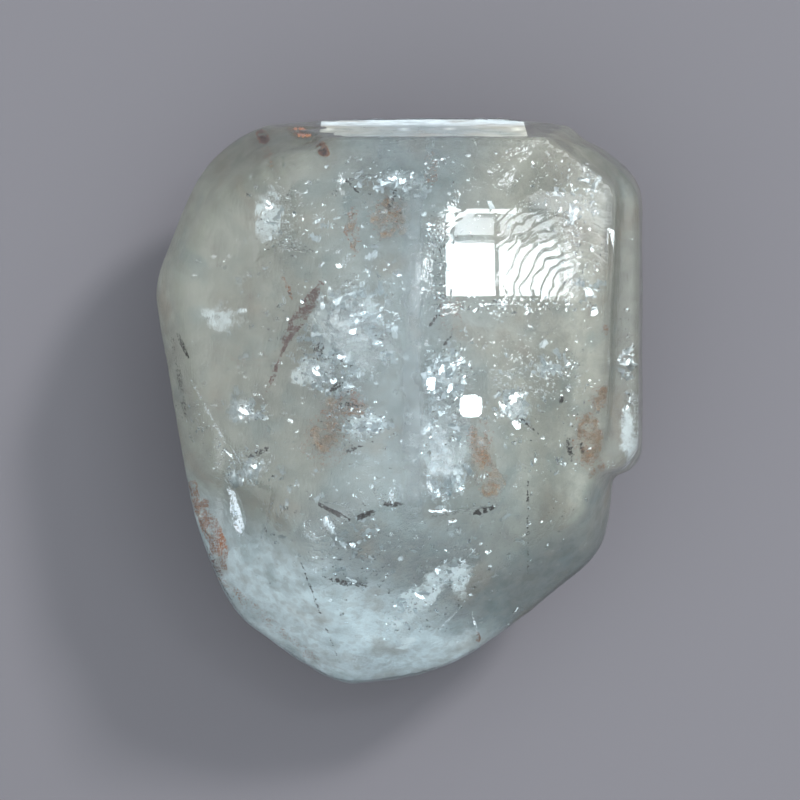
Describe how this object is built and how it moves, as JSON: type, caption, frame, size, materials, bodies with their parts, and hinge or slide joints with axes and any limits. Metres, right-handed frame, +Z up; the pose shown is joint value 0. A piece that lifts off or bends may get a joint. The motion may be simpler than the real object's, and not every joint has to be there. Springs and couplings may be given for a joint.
{
  "type": "rough topaz crystal",
  "caption": "Water-worn rough topaz crystal: a stubby, see-through grey-green prism with a flat cleavage end and a chipped tapering tip, lying on its back.",
  "frame": {"origin": "middle of the stone's box, at the height of the surface that it lies on", "axes": "+Z up, away from the rest face; +Y along the prism towards the cleavage end; +X towards the ledge"},
  "size_m": [0.0388, 0.0456, 0.0253],
  "materials": {
    "topaz": "water-worn, see-through and slightly cloudy, glossy where it cleaved or chipped, finely etched elsewhere"
  },
  "bodies": {
    "root": {"rough_topaz": "topaz"}
  },
  "joints": []
}
